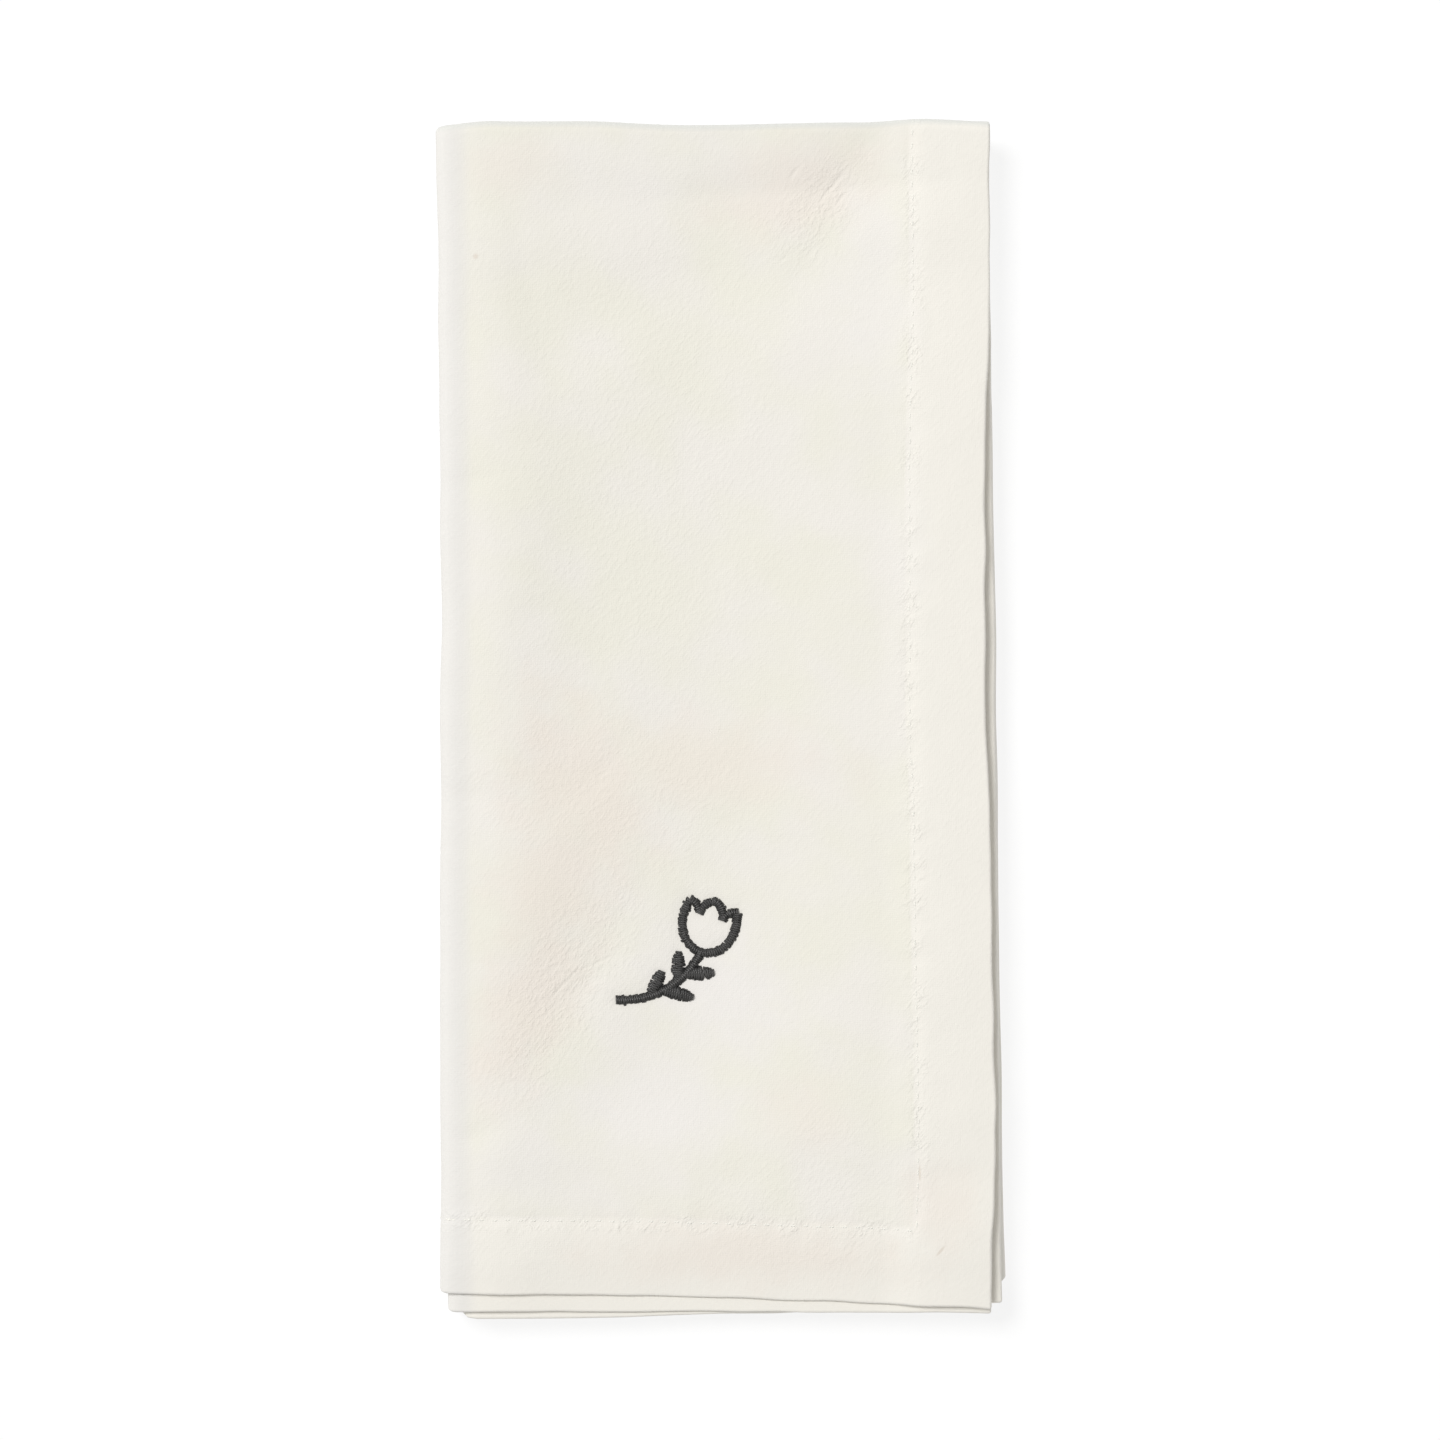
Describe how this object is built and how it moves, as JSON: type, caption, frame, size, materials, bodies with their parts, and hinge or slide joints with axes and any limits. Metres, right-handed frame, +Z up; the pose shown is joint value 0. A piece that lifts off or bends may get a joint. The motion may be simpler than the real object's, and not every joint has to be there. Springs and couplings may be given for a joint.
{
  "type": "cloth napkin",
  "caption": "Cloth napkin folded to a long rectangle, with stitched hems, a soft rolled fold down one side and a small embroidered flower.",
  "frame": {"origin": "on the surface that the pile lies on, under the middle of its bounding box", "axes": "+Y along the pile towards its top crease, +X towards its hemmed side edges, +Z up"},
  "size_m": [0.1104, 0.232, 0.0124],
  "materials": {
    "soft_cotton": "washed, matt, off-white"
  },
  "bodies": {
    "root": {"napkin": "soft_cotton"}
  },
  "joints": []
}
